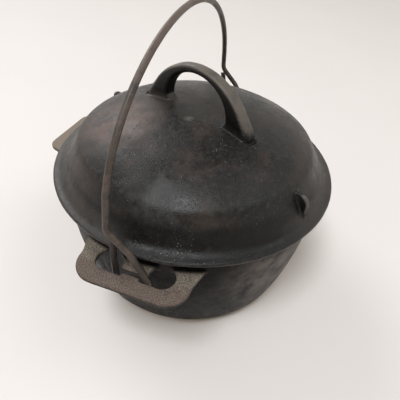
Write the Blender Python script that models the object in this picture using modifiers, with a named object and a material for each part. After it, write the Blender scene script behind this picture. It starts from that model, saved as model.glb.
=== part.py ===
"""Cast-iron dutch oven: a kettle with two ears and a tipping lug, a domed lid and a wire bail.

Metres, +Z up. The origin is the centre of the flat base, and the ears lie along X.
"""
import math

import bmesh
import bpy
from mathutils import Matrix, Vector

# Kettle
KETTLE_HEIGHT = 0.1267
KETTLE_RIM_RADIUS = 0.1262
KETTLE_TAPER = 0.0129
KETTLE_BULGE = 0.0041
KETTLE_CORNER_HEIGHT = 0.016
KETTLE_CORNER_RADIUS = 0.0190
KETTLE_WALL = 0.0042
KETTLE_FLOOR = 0.0048
BASE_PAD_RADIUS = 0.0935
BASE_PAD_HEIGHT = 0.0011
RIM_BEAD_WIDTH = 0.0016
RIM_BEAD_HEIGHT = 0.007
RIM_EDGE_RADIUS = 0.001

# Ears that carry the bail
EAR_REACH = 0.0323
EAR_WIDTH = 0.0965
EAR_THICKNESS = 0.0053
EAR_DROP = 0.0143
EAR_CORNER_RADIUS = 0.0195
EAR_NECK_RADIUS = 0.014
EAR_ROOT_SPREAD = 0.008
EAR_EDGE_RADIUS = 0.0018
FINGER_HOLE_RADIUS = 0.0110
FINGER_HOLE_SPACING = 0.0462
FINGER_HOLE_STANDOFF = 0.0083
EAR_BAR_WIDTH = 0.0133
BAIL_SEAT_WIDTH = 0.015
BAIL_SEAT_DEPTH = 0.0030
EAR_SLOT_WIDTH = 0.0038

# Tipping lug on the side
LUG_REACH = 0.0262
LUG_WIDTH = 0.067
LUG_THICKNESS = 0.0055
LUG_DROP = 0.0047
LUG_CORNER_RADIUS = 0.012
LUG_ROOT_SPREAD = 0.010
LUG_TURN = math.radians(-1.5)
LUG_EDGE_RADIUS = 0.0018

# Lid
LID_OVERHANG = 0.0103
LID_FLANGE_THICKNESS = 0.003
LID_FLANGE_WIDTH = 0.0093
LID_FLANGE_RISE = 0.0025
LID_FLANGE_EDGE_RADIUS = 0.0009
LID_FOOT_RADIUS = 0.012
LID_INNER_FOOT_RISE = 0.002
LID_INNER_FOOT_RADIUS = 0.006
LID_SIDE_SETBACK = 0.0167
LID_SIDE_HEIGHT = 0.0273
LID_SHOULDER_RADIUS = 0.016
LID_SHOULDER_WIDTH = 0.0065
LID_SHOULDER_FALL = 0.0038
LID_CROWN_RISE = 0.0199
LID_CROWN_POWER = 3.05
LID_WALL = 0.0042
LID_RING_DEPTH = 0.008
LID_RING_THICKNESS = 0.0025
LID_RING_CLEARANCE = 0.0015
DRIP_RING_RADII = (0.030, 0.055, 0.080)
DRIP_RING_WIDTH = 0.005
DRIP_RING_HEIGHT = 0.0018

# Lid handle
HANDLE_TURN = math.radians(68.0)
HANDLE_RISE = 0.0419
HANDLE_LEG_SLOPE = math.radians(51.0)
HANDLE_THICKNESS = 0.0070
HANDLE_WIDTH = 0.0115
HANDLE_EDGE_RADIUS = 0.0032
HANDLE_TOE_REACH = 0.0620
HANDLE_TOE_HEIGHT = 0.0048
HANDLE_TOE_RADIUS = 0.0035
HANDLE_INNER_SPAN = 0.0346
HANDLE_FOOT_FLARE = 0.005
HANDLE_FOOT_WIDENING = 0.35
HANDLE_POCKET_RADIUS = 0.0085
HANDLE_POCKET_DEPTH = 0.0013

# Fins that brace the side of the lid against its flange
FIN_TURN = math.radians(67.0)
FIN_THICKNESS = 0.0038
FIN_SETBACK = 0.0096
FIN_TAPER = 0.0003
FIN_HEIGHT = 0.0243
FIN_CORNER_RADIUS = 0.009
FIN_EDGE_RADIUS = 0.0012

# Bail; its two ends are bent by hand and differ, and each (y, z) is taken from the hinge axis
WIRE_RADIUS = 0.00275
HOOK_CLEARANCE = 0.00065
HOOK_DEPTH = 0.0120
HOOK_BEND_RADIUS = 0.006
STUB_LEAN_HEIGHT = 0.022
STUB_LEAN_RADIUS = 0.030
FIRST_END = {
    "stub_splay": -0.0012,
    "stub_tip": (-0.0137, 0.0364),
    "stub": -0.0137,
    "foot": 0.0140,
    "leg": (0.0010, 0.0275),
    "knee_bow": 0.0028,
    "knee": (-0.0165, 0.0462),
}
SECOND_END = {
    "stub_splay": 0.0029,
    "stub_tip": (-0.0175, 0.0490),
    "stub": -0.0110,
    "foot": 0.0195,
    "leg": (0.0020, 0.0380),
    "knee_bow": 0.0,
    "knee": (-0.0165, 0.0567),
}
LEG_BEND_RADIUS = 0.030
KNEE_INSET = 0.0016
KNEE_BEND_RADIUS = 0.011
ARCH_BASE = (-0.0172, 0.0543)
ARCH_RISE = 0.1065
ARCH_LEAN = math.radians(1.85)

# Fits and steps
SEAT_GAP = 0.0003
CUT_MARGIN = 0.006
TURN_STEPS = 64
ARC_STEP = math.radians(16.0)
FINE_ARC_STEP = math.radians(8.0)
WALL_STEPS = 6
CROWN_STEPS = 8
ARCH_STEPS = 34
HANDLE_STEPS = 16
MERGE_DISTANCE = 0.00002

# Heights and radii that follow from the sizes above
LID_SEAT_Z = KETTLE_HEIGHT + SEAT_GAP
LID_RADIUS = KETTLE_RIM_RADIUS + LID_OVERHANG
LID_EDGE_Z = LID_SEAT_Z + LID_FLANGE_THICKNESS
LID_FOOT_R = LID_RADIUS - LID_FLANGE_WIDTH
LID_FOOT_Z = LID_EDGE_Z + LID_FLANGE_RISE
LID_SHOULDER_R = LID_FOOT_R - LID_SIDE_SETBACK
LID_SHOULDER_Z = LID_FOOT_Z + LID_SIDE_HEIGHT
LID_CROWN_R = LID_SHOULDER_R - LID_SHOULDER_WIDTH
LID_CROWN_EDGE_Z = LID_SHOULDER_Z + LID_SHOULDER_FALL
LID_TOP_Z = LID_CROWN_EDGE_Z + LID_CROWN_RISE
EAR_TOP_Z = KETTLE_HEIGHT - EAR_DROP
EAR_MIDDLE_Z = EAR_TOP_Z - EAR_THICKNESS / 2
EAR_FRONT_X = KETTLE_RIM_RADIUS + EAR_REACH
EAR_BAR_X = EAR_FRONT_X - EAR_BAR_WIDTH
LUG_MIDDLE_Z = KETTLE_HEIGHT - LUG_DROP - LUG_THICKNESS / 2
HOOK_X = EAR_BAR_X - HOOK_CLEARANCE - WIRE_RADIUS
KNEE_X = HOOK_X - KNEE_INSET


def clear_scene():
    for item in list(bpy.data.objects):
        bpy.data.objects.remove(item, do_unlink=True)


def new_collection(name):
    collection = bpy.data.collections.new(name)
    bpy.context.scene.collection.children.link(collection)
    return collection


def new_material(name, colour, roughness, metallic):
    material = bpy.data.materials.new(name)
    material.use_nodes = True
    shader = material.node_tree.nodes["Principled BSDF"]
    shader.inputs["Base Color"].default_value = (*colour, 1.0)
    shader.inputs["Roughness"].default_value = roughness
    shader.inputs["Metallic"].default_value = metallic
    material.diffuse_color = (*colour, 1.0)
    return material


def add_object(name, data, collection):
    item = bpy.data.objects.new(name, data)
    collection.objects.link(item)
    return item


def hide_cutter(item):
    item.hide_render = True
    item.display_type = "WIRE"
    return item


def rounded(corners, closed=False, arc_step=ARC_STEP):
    """Points through corners given as (x, y, radius), each corner rounded to its radius."""
    points = []
    count = len(corners)
    for index, (x, y, radius) in enumerate(corners):
        corner = Vector((x, y))
        is_end = not closed and index in (0, count - 1)
        if is_end or radius == 0:
            points.append(corner)
            continue
        before = Vector(corners[index - 1][:2])
        after = Vector(corners[(index + 1) % count][:2])
        into = (corner - before).normalized()
        away = (after - corner).normalized()
        turn = math.atan2(into.x * away.y - into.y * away.x, into.dot(away))
        side = math.copysign(1.0, turn)
        start = corner - into * radius * math.tan(abs(turn) / 2)
        inward = Vector((-into.y, into.x)) * side
        centre = start + inward * radius
        steps = max(1, math.ceil(abs(turn) / arc_step))
        for step in range(steps + 1):
            spoke = -inward * radius
            spoke.rotate(Matrix.Rotation(turn * step / steps, 2))
            points.append(centre + spoke)
    return points


def turned(name, profile, collection):
    """Solid of revolution about Z; the profile of (radius, height) runs down its outer side."""
    mesh = bpy.data.meshes.new(name)
    vertices = [(radius, 0.0, height) for radius, height in profile]
    edges = [(index, index + 1) for index in range(len(vertices) - 1)]
    mesh.from_pydata(vertices, edges, [])
    item = add_object(name, mesh, collection)
    screw = item.modifiers.new("Turn", "SCREW")
    screw.axis = "Z"
    screw.angle = 2 * math.pi
    screw.steps = TURN_STEPS
    screw.render_steps = TURN_STEPS
    screw.use_merge_vertices = True
    screw.merge_threshold = MERGE_DISTANCE
    screw.use_normal_calculate = False
    return item


def curve_to_mesh(item, collection):
    """Replace a curve object by the mesh it evaluates to, with its caps welded on."""
    bpy.context.view_layer.update()
    graph = bpy.context.evaluated_depsgraph_get()
    mesh = bpy.data.meshes.new_from_object(item.evaluated_get(graph))
    shape = bmesh.new()
    shape.from_mesh(mesh)
    bmesh.ops.remove_doubles(shape, verts=shape.verts, dist=MERGE_DISTANCE)
    bmesh.ops.recalc_face_normals(shape, faces=shape.faces)
    shape.to_mesh(mesh)
    shape.free()
    placed = add_object(item.name + "_mesh", mesh, collection)
    placed.matrix_world = item.matrix_world.copy()
    bpy.data.objects.remove(item, do_unlink=True)
    return placed


def plate(name, outline, thickness, edge_radius, collection):
    """Flat plate on its own XY plane with rounded edges, centred on its thickness."""
    curve = bpy.data.curves.new(name, "CURVE")
    curve.dimensions = "2D"
    curve.fill_mode = "BOTH"
    curve.extrude = thickness / 2 - edge_radius
    curve.bevel_depth = edge_radius
    curve.bevel_resolution = 1
    curve.offset = -edge_radius
    spline = curve.splines.new("POLY")
    spline.points.add(len(outline) - 1)
    for point, (x, y) in zip(spline.points, outline):
        point.co = (x, y, 0.0, 1.0)
    spline.use_cyclic_u = True
    return add_object(name, curve, collection)


def combine(item, other, operation):
    boolean = item.modifiers.new(other.name, "BOOLEAN")
    boolean.operation = operation
    boolean.solver = "EXACT"
    boolean.object = other
    hide_cutter(other)


def box(name, low, high, collection):
    """Axis-aligned box between two corners."""
    shape = bmesh.new()
    bmesh.ops.create_cube(shape, size=1.0)
    low = Vector(low)
    high = Vector(high)
    bmesh.ops.scale(shape, vec=high - low, verts=shape.verts)
    bmesh.ops.translate(shape, vec=(low + high) / 2, verts=shape.verts)
    mesh = bpy.data.meshes.new(name)
    shape.to_mesh(mesh)
    shape.free()
    return add_object(name, mesh, collection)


def cylinder(name, radius, length, centre, collection):
    """Upright cylinder about its centre."""
    shape = bmesh.new()
    bmesh.ops.create_cone(
        shape, cap_ends=True, segments=28, radius1=radius, radius2=radius, depth=length)
    mesh = bpy.data.meshes.new(name)
    shape.to_mesh(mesh)
    shape.free()
    item = add_object(name, mesh, collection)
    item.location = centre
    return item


def wall_radius(height):
    """Outer radius of the kettle's wall, which tapers towards the foot and bulges between."""
    depth = (KETTLE_HEIGHT - height) / (KETTLE_HEIGHT - KETTLE_CORNER_HEIGHT)
    return KETTLE_RIM_RADIUS - KETTLE_TAPER * depth + 4 * KETTLE_BULGE * depth * (1 - depth)


def wall_points(top, inset):
    """Points down the wall from a height to the start of the foot corner."""
    heights = [
        top + (KETTLE_CORNER_HEIGHT - top) * step / WALL_STEPS for step in range(WALL_STEPS + 1)]
    return [(wall_radius(height) - inset, height) for height in heights]


def foot_corner(inset, floor, radius):
    """Corner where the wall's line at the foot meets a floor height."""
    span = KETTLE_HEIGHT - KETTLE_CORNER_HEIGHT
    slope = (KETTLE_TAPER + 4 * KETTLE_BULGE) / span
    start = wall_radius(KETTLE_CORNER_HEIGHT) - inset
    return (start - slope * (KETTLE_CORNER_HEIGHT - floor), floor, radius)


def kettle_profile():
    bead_radius = KETTLE_RIM_RADIUS + RIM_BEAD_WIDTH
    bead_foot = KETTLE_HEIGHT - RIM_BEAD_HEIGHT
    wall_top = bead_foot - RIM_BEAD_WIDTH
    corners = [
        (0.0, KETTLE_HEIGHT, 0.0),
        (bead_radius, KETTLE_HEIGHT, RIM_EDGE_RADIUS),
        (bead_radius, bead_foot, 0.0),
    ]
    corners += [(radius, height, 0.0) for radius, height in wall_points(wall_top, 0.0)[:-1]]
    corners += [
        foot_corner(0.0, BASE_PAD_HEIGHT, KETTLE_CORNER_RADIUS),
        (BASE_PAD_RADIUS, BASE_PAD_HEIGHT, 0.0),
        (BASE_PAD_RADIUS - BASE_PAD_HEIGHT, 0.0, 0.0),
        (0.0, 0.0, 0.0),
    ]
    return rounded(corners)


def kettle_cavity_profile():
    inner_corner = KETTLE_CORNER_RADIUS - KETTLE_WALL
    mouth = KETTLE_HEIGHT + CUT_MARGIN
    mouth_radius = KETTLE_RIM_RADIUS - KETTLE_WALL
    corners = [(0.0, mouth, 0.0), (mouth_radius, mouth, 0.0)]
    walls = wall_points(KETTLE_HEIGHT, KETTLE_WALL)[:-1]
    corners += [(radius, height, 0.0) for radius, height in walls]
    corners += [foot_corner(KETTLE_WALL, KETTLE_FLOOR, inner_corner), (0.0, KETTLE_FLOOR, 0.0)]
    return rounded(corners)


def ear_outline():
    """Outline of the ear at +X: a straight front, round corners and a neck that meets the wall."""
    root = KETTLE_RIM_RADIUS - KETTLE_WALL / 2
    half = EAR_WIDTH / 2
    side = [
        (EAR_FRONT_X, half, EAR_CORNER_RADIUS),
        (KETTLE_RIM_RADIUS + EAR_ROOT_SPREAD, half, EAR_NECK_RADIUS),
        (root * math.cos(math.asin(half / root)) - EAR_ROOT_SPREAD, half + EAR_ROOT_SPREAD, 0.0),
    ]
    other = [(x, -y, radius) for x, y, radius in reversed(side)]
    return rounded(side + other, closed=True)


def add_ear_opening(kettle, side, collection):
    """Two finger holes joined by a narrow slot, with a bay beside the bail's seat at each hole."""
    depth = EAR_THICKNESS + 2 * CUT_MARGIN
    low_z = EAR_MIDDLE_Z - depth / 2
    high_z = EAR_MIDDLE_Z + depth / 2
    hole_x = KETTLE_RIM_RADIUS + FINGER_HOLE_STANDOFF
    hole_y = FINGER_HOLE_SPACING / 2
    slot_high = EAR_BAR_X - BAIL_SEAT_DEPTH
    slot_low = slot_high - EAR_SLOT_WIDTH
    bay_inner = BAIL_SEAT_WIDTH / 2
    cutters = []
    for sign in (-1, 1):
        centre = (side * hole_x, sign * hole_y, EAR_MIDDLE_Z)
        label = "finger_hole_cutter"
        cutters.append(cylinder(label, FINGER_HOLE_RADIUS, depth, centre, collection))
        ends_y = sorted((sign * bay_inner, sign * hole_y))
        ends_x = sorted((side * slot_low, side * EAR_BAR_X))
        cutters.append(box(
            "bail_bay_cutter", (ends_x[0], ends_y[0], low_z), (ends_x[1], ends_y[1], high_z),
            collection))
    ends_x = sorted((side * slot_low, side * slot_high))
    cutters.append(box(
        "slot_cutter", (ends_x[0], -hole_y, low_z), (ends_x[1], hole_y, high_z), collection))
    for cutter in cutters:
        combine(kettle, cutter, "DIFFERENCE")


def lug_outline():
    """Outline of the tipping lug, along +Y before it is turned to its side of the kettle."""
    reach = KETTLE_RIM_RADIUS + LUG_REACH
    half = LUG_WIDTH / 2
    root = KETTLE_RIM_RADIUS - KETTLE_WALL / 2
    side = [
        (half, reach, LUG_CORNER_RADIUS),
        (half + LUG_ROOT_SPREAD, root * math.cos(math.asin(half / root)), 0.0),
        (half, root * math.cos(math.asin(half / root)) - LUG_ROOT_SPREAD, 0.0),
    ]
    other = [(-x, y, radius) for x, y, radius in reversed(side)]
    return rounded(side + other, closed=True)


def build_kettle(parts, cutters, material):
    kettle = turned("kettle", kettle_profile(), parts)
    kettle.data.materials.append(material)
    for side in (1, -1):
        ear = plate("ear", ear_outline(), EAR_THICKNESS, EAR_EDGE_RADIUS, cutters)
        ear.matrix_world = (
            Matrix.Translation((0.0, 0.0, EAR_MIDDLE_Z))
            @ Matrix.Rotation(0.0 if side > 0 else math.pi, 4, "Z"))
        combine(kettle, curve_to_mesh(ear, cutters), "UNION")
    lug = plate("tipping_lug", lug_outline(), LUG_THICKNESS, LUG_EDGE_RADIUS, cutters)
    lug.matrix_world = (
        Matrix.Translation((0.0, 0.0, LUG_MIDDLE_Z)) @ Matrix.Rotation(math.pi + LUG_TURN, 4, "Z"))
    combine(kettle, curve_to_mesh(lug, cutters), "UNION")
    combine(kettle, turned("kettle_cavity", kettle_cavity_profile(), cutters), "DIFFERENCE")
    for side in (1, -1):
        add_ear_opening(kettle, side, cutters)
    return kettle


def crown_height(radius):
    """Height of the lid's outer crown over its axis distance."""
    return LID_TOP_Z - LID_CROWN_RISE * (radius / LID_CROWN_R) ** LID_CROWN_POWER


def lid_profile():
    ring_radius = KETTLE_RIM_RADIUS - KETTLE_WALL - LID_RING_CLEARANCE
    ring_z = LID_SEAT_Z - LID_RING_DEPTH
    steps = range(CROWN_STEPS)
    radii = [LID_CROWN_R * math.sqrt(step / CROWN_STEPS) for step in steps]
    corners = [(radius, crown_height(radius), 0.0) for radius in radii]
    corners += [
        (LID_CROWN_R, LID_CROWN_EDGE_Z, 0.0),
        (LID_SHOULDER_R, LID_SHOULDER_Z, LID_SHOULDER_RADIUS),
        (LID_FOOT_R, LID_FOOT_Z, LID_FOOT_RADIUS),
        (LID_RADIUS, LID_EDGE_Z, LID_FLANGE_EDGE_RADIUS),
        (LID_RADIUS, LID_SEAT_Z, LID_FLANGE_EDGE_RADIUS),
        (ring_radius, LID_SEAT_Z, 0.0),
        (ring_radius, ring_z, 0.0),
        (0.0, ring_z, 0.0),
    ]
    return rounded(corners)


def drip_ring(radius):
    """Low ridge under the crown that drips condensed steam back into the kettle."""
    half = DRIP_RING_WIDTH / 2
    under = crown_height(radius) - LID_WALL
    return [
        (radius - half, crown_height(radius - half) - LID_WALL, 0.0),
        (radius, under - DRIP_RING_HEIGHT, 0.0),
        (radius + half, crown_height(radius + half) - LID_WALL, 0.0),
    ]


def lid_cavity_profile():
    mouth_radius = KETTLE_RIM_RADIUS - KETTLE_WALL - LID_RING_CLEARANCE - LID_RING_THICKNESS
    mouth_z = LID_SEAT_Z - LID_RING_DEPTH - CUT_MARGIN
    corners = [(0.0, LID_TOP_Z - LID_WALL, 0.0)]
    for radius in DRIP_RING_RADII:
        corners += drip_ring(radius)
    crown_edge = LID_CROWN_R - LID_WALL / 2
    corners += [
        (crown_edge, crown_height(crown_edge) - LID_WALL, 0.0),
        (LID_SHOULDER_R - LID_WALL, LID_SHOULDER_Z - LID_WALL / 2, LID_SHOULDER_RADIUS - LID_WALL),
        (mouth_radius, LID_FOOT_Z + LID_INNER_FOOT_RISE, LID_INNER_FOOT_RADIUS),
        (mouth_radius, mouth_z, 0.0),
        (0.0, mouth_z, 0.0),
    ]
    return rounded(corners)


def handle_outline():
    """Side view of the strap handle: an arch on sloping legs over a narrower inner arch."""
    top = LID_TOP_Z + HANDLE_RISE
    toe_z = crown_height(HANDLE_TOE_REACH) + HANDLE_TOE_HEIGHT
    apex = toe_z + HANDLE_TOE_REACH * math.tan(HANDLE_LEG_SLOPE)
    arc_radius = (apex - top) / (1 / math.cos(HANDLE_LEG_SLOPE) - 1)
    sink = LID_WALL / 2
    foot_z = crown_height(HANDLE_TOE_REACH) - sink
    outer = rounded([
        (HANDLE_TOE_REACH, foot_z, 0.0),
        (HANDLE_TOE_REACH, toe_z, HANDLE_TOE_RADIUS),
        (0.0, apex, arc_radius),
        (-HANDLE_TOE_REACH, toe_z, HANDLE_TOE_RADIUS),
        (-HANDLE_TOE_REACH, foot_z, 0.0),
    ], arc_step=FINE_ARC_STEP)
    flare_z = crown_height(HANDLE_INNER_SPAN) + HANDLE_FOOT_FLARE
    rise = top - HANDLE_THICKNESS - flare_z
    inner = []
    for step in range(HANDLE_STEPS + 1):
        angle = math.pi - math.pi * step / HANDLE_STEPS
        inner.append((HANDLE_INNER_SPAN * math.cos(angle), flare_z + rise * math.sin(angle)))
    heel = HANDLE_INNER_SPAN - HANDLE_FOOT_FLARE
    heel_z = crown_height(heel) - sink
    return outer + [(-heel, heel_z)] + inner + [(heel, heel_z)]


def widen_feet(handle):
    """Make the strap wider from its top towards its two feet."""
    for vertex in handle.data.vertices:
        reach = min(1.0, abs(vertex.co.x) / HANDLE_TOE_REACH)
        vertex.co.z *= 1.0 + HANDLE_FOOT_WIDENING * reach ** 2


def fin_outline():
    """Side view of a fin, in (axis distance, height): level on top, then down to the flange."""
    reach = LID_RADIUS - FIN_SETBACK
    top = LID_FOOT_Z + FIN_HEIGHT
    inner = LID_SHOULDER_R - LID_WALL
    middle = LID_SEAT_Z + LID_FLANGE_THICKNESS / 2
    return rounded([
        (inner, top, 0.0),
        (reach, top, FIN_CORNER_RADIUS),
        (reach - FIN_TAPER, middle, 0.0),
        (inner, middle, 0.0),
    ], closed=True)


def upright(turn):
    """Placement that stands a drawn side view upright, its X axis turned about the lid's axis."""
    return Matrix.Rotation(turn, 4, "Z") @ Matrix.Rotation(math.pi / 2, 4, "X")


def add_pocket(lid, turn, collection):
    """Shallow pocket in the crown at the outer end of a handle foot."""
    shape = bmesh.new()
    bmesh.ops.create_uvsphere(shape, u_segments=16, v_segments=8, radius=HANDLE_POCKET_RADIUS)
    flat = HANDLE_POCKET_DEPTH / HANDLE_POCKET_RADIUS
    bmesh.ops.scale(shape, vec=(0.6, 1.0, flat), verts=shape.verts)
    mesh = bpy.data.meshes.new("pocket_cutter")
    shape.to_mesh(mesh)
    shape.free()
    pocket = add_object("pocket_cutter", mesh, collection)
    reach = HANDLE_TOE_REACH
    tilt = math.atan2(crown_height(reach) - crown_height(reach + 0.001), 0.001)
    pocket.matrix_world = (
        Matrix.Rotation(turn, 4, "Z")
        @ Matrix.Translation((reach, 0.0, crown_height(reach)))
        @ Matrix.Rotation(tilt, 4, "Y"))
    combine(lid, pocket, "DIFFERENCE")


def build_lid(parts, cutters, material):
    lid = turned("lid", lid_profile(), parts)
    lid.data.materials.append(material)
    for turn in (HANDLE_TURN, HANDLE_TURN + math.pi):
        add_pocket(lid, turn, cutters)
    handle = plate("handle", handle_outline(), HANDLE_WIDTH, HANDLE_EDGE_RADIUS, cutters)
    handle.matrix_world = upright(HANDLE_TURN)
    handle = curve_to_mesh(handle, cutters)
    widen_feet(handle)
    combine(lid, handle, "UNION")
    for turn in (FIN_TURN, FIN_TURN + math.pi):
        fin = plate("fin", fin_outline(), FIN_THICKNESS, FIN_EDGE_RADIUS, cutters)
        fin.matrix_world = upright(turn)
        combine(lid, curve_to_mesh(fin, cutters), "UNION")
    combine(lid, turned("lid_cavity", lid_cavity_profile(), cutters), "DIFFERENCE")
    return lid


def bend(before, corner, after, radius, steps):
    """Arc of the wire's axis round a corner of its path."""
    into = (corner - before).normalized()
    away = (after - corner).normalized()
    turn = into.angle(away)
    setback = radius * math.tan(turn / 2)
    start = corner - into * setback
    inward = (away - into * into.dot(away)).normalized()
    centre = start + inward * radius
    points = []
    for step in range(steps + 1):
        angle = turn * step / steps
        points.append(centre - inward * radius * math.cos(angle) + into * radius * math.sin(angle))
    return points


def bail_end(end, side, towards):
    """Axis of one end of the wire, from the tip of its stub through the hook to the knee."""
    stub_tip = Vector((side * (HOOK_X + end["stub_splay"]), *end["stub_tip"]))
    stub_lean = Vector((side * HOOK_X, end["stub"], STUB_LEAN_HEIGHT))
    hook_in = Vector((side * HOOK_X, end["stub"], -HOOK_DEPTH))
    hook_out = Vector((side * HOOK_X, end["foot"], -HOOK_DEPTH))
    foot = Vector((side * HOOK_X, end["foot"], 0.0))
    knee_out = KNEE_X + end["knee_bow"]
    knee = Vector((side * knee_out, *end["knee"]))
    leg_y, leg_z = end["leg"]
    leg_x = HOOK_X + (knee_out - HOOK_X) * leg_z / knee.z
    leg = Vector((side * leg_x, leg_y, leg_z))
    points = [stub_tip]
    points += bend(stub_tip, stub_lean, hook_in, STUB_LEAN_RADIUS, 2)
    points += bend(stub_lean, hook_in, hook_out, HOOK_BEND_RADIUS, 5)
    points += bend(hook_in, hook_out, foot, HOOK_BEND_RADIUS, 5)
    points += bend(hook_out, foot, leg, HOOK_BEND_RADIUS, 3)
    points += bend(foot, leg, knee, LEG_BEND_RADIUS, 2)
    points += bend(leg, knee, towards, KNEE_BEND_RADIUS, 4)
    return points


def bail_path():
    """Axis of the bail's wire about its hinge axis: one end, the arch, then the other end."""
    base_y, base_z = ARCH_BASE
    arch = []
    for step in range(2, ARCH_STEPS - 1):
        angle = math.pi * step / ARCH_STEPS
        rise = ARCH_RISE * math.sin(angle)
        arch.append(Vector((
            KNEE_X * math.cos(angle), base_y + rise * math.tan(ARCH_LEAN), base_z + rise)))
    first = bail_end(FIRST_END, 1, arch[0])
    second = bail_end(SECOND_END, -1, arch[-1])
    return first + arch + second[::-1]


def build_bail(parts, material):
    """Wire bail, with its origin on the hinge axis through both ears."""
    points = bail_path()
    curve = bpy.data.curves.new("bail", "CURVE")
    curve.dimensions = "3D"
    curve.bevel_depth = WIRE_RADIUS
    curve.bevel_resolution = 3
    curve.use_fill_caps = True
    spline = curve.splines.new("POLY")
    spline.points.add(len(points) - 1)
    for point, place in zip(spline.points, points):
        point.co = (*place, 1.0)
    curve.materials.append(material)
    bail = add_object("bail", curve, parts)
    bail.location = (0.0, 0.0, EAR_MIDDLE_Z)
    return bail


def shade(item):
    """Smooth shading for round pieces, with their real edges kept sharp."""
    item.data.shade_smooth()
    item.data.set_sharp_from_angle(angle=math.radians(35.0))


def build_dutch_oven():
    clear_scene()
    parts = new_collection("dutch_oven")
    cutters = new_collection("cutters")
    kettle_iron = new_material("kettle_iron", (0.045, 0.042, 0.040), 0.62, 0.35)
    lid_iron = new_material("lid_iron", (0.050, 0.045, 0.043), 0.58, 0.35)
    bail_steel = new_material("bail_steel", (0.105, 0.085, 0.078), 0.55, 0.55)
    shade(build_kettle(parts, cutters, kettle_iron))
    shade(build_lid(parts, cutters, lid_iron))
    build_bail(parts, bail_steel)


build_dutch_oven()
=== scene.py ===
"""Looks of the cast-iron dutch oven: its castings and wire bail, floor, light and camera."""
import math

import bmesh
import bpy
from mathutils import Matrix, Vector


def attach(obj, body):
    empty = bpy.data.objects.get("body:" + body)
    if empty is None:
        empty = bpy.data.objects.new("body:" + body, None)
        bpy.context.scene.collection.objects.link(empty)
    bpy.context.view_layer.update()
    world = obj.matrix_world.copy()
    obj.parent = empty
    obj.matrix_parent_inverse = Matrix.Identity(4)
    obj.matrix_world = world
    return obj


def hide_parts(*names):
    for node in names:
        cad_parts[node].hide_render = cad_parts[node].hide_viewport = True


# Kettle, in metres, as in the part's source
KETTLE_HEIGHT = 0.1267
KETTLE_RIM_RADIUS = 0.1262
KETTLE_TAPER = 0.0129
KETTLE_BULGE = 0.0041
KETTLE_CORNER_HEIGHT = 0.016
KETTLE_CORNER_RADIUS = 0.019
KETTLE_WALL = 0.0042
KETTLE_ROOT_RADIUS = KETTLE_RIM_RADIUS - KETTLE_WALL / 2
KETTLE_FLOOR = 0.0048
BASE_PAD_RADIUS = 0.0935
BASE_PAD_HEIGHT = 0.0011
RIM_BEAD_WIDTH = 0.0016
RIM_BEAD_HEIGHT = 0.007
EAR_FRONT_X = 0.1585
EAR_WIDTH = 0.0965
EAR_THICKNESS = 0.0053
EAR_TOP_Z = 0.1124
EAR_CORNER_RADIUS = 0.0195
EAR_NECK_RADIUS = 0.014
EAR_ROOT_SPREAD = 0.008
FINGER_HOLE_RADIUS = 0.0110
FINGER_HOLE_X = 0.1345
FINGER_HOLE_Y = 0.0231
EAR_BAR_X = 0.1452
BAIL_SEAT_WIDTH = 0.015
BAIL_SEAT_DEPTH = 0.0030
EAR_SLOT_WIDTH = 0.0038
LUG_REACH = 0.1524
LUG_WIDTH = 0.067
LUG_THICKNESS = 0.0055
LUG_TOP_Z = 0.122
LUG_CORNER_RADIUS = 0.012
LUG_ROOT_SPREAD = 0.010
LUG_TURN = math.radians(-1.5)
LUG_CUT_DEPTH = 0.02

# Lid
LID_RADIUS = 0.1365
LID_SEAT_Z = 0.127
LID_EDGE_Z = 0.130
LID_FOOT = (0.1272, 0.1325)
LID_FOOT_RADIUS = 0.012
LID_SHOULDER = (0.1105, 0.1598)
LID_SHOULDER_RADIUS = 0.016
LID_INNER_FOOT_Z = 0.1345
LID_INNER_FOOT_RADIUS = 0.006
LID_CROWN_RADIUS = 0.104
LID_CROWN_END = 0.102
LID_TOP_Z = 0.1835
LID_CROWN_RISE = 0.0199
LID_CROWN_POWER = 3.05
LID_WALL = 0.0042
LID_RING_RADIUS = 0.1205
LID_RING_DEPTH = 0.008
LID_RING_THICKNESS = 0.0025
DRIP_RING_RADII = (0.030, 0.055, 0.080)
DRIP_RING_WIDTH = 0.005
DRIP_RING_HEIGHT = 0.0018
HANDLE_TURN = math.radians(68.0)
HANDLE_RISE = 0.0419
HANDLE_LEG_SLOPE = math.radians(51.0)
HANDLE_THICKNESS = 0.0070
HANDLE_WIDTH = 0.0115
HANDLE_TOE_REACH = 0.0620
HANDLE_TOE_HEIGHT = 0.0048
HANDLE_TOE_RADIUS = 0.0035
HANDLE_INNER_SPAN = 0.0346
HANDLE_FOOT_FLARE = 0.005
HANDLE_FOOT_WIDENING = 0.35
TOE_POCKET = (0.0066, 0.0086, 0.0026)
TOE_POCKET_SHIFT = -0.0030
TOE_RIM_THICKNESS = 0.0005
TOE_NOSE_DEPTH = 0.0036
TOE_NOSE_LENGTH = 0.012
FIN_TURN = math.radians(67.0)
FIN_THICKNESS = 0.0038
FIN_REACH = 0.1269
FIN_TAPER = 0.0003
FIN_TOP_Z = 0.1568
FIN_CORNER_RADIUS = 0.009

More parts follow.
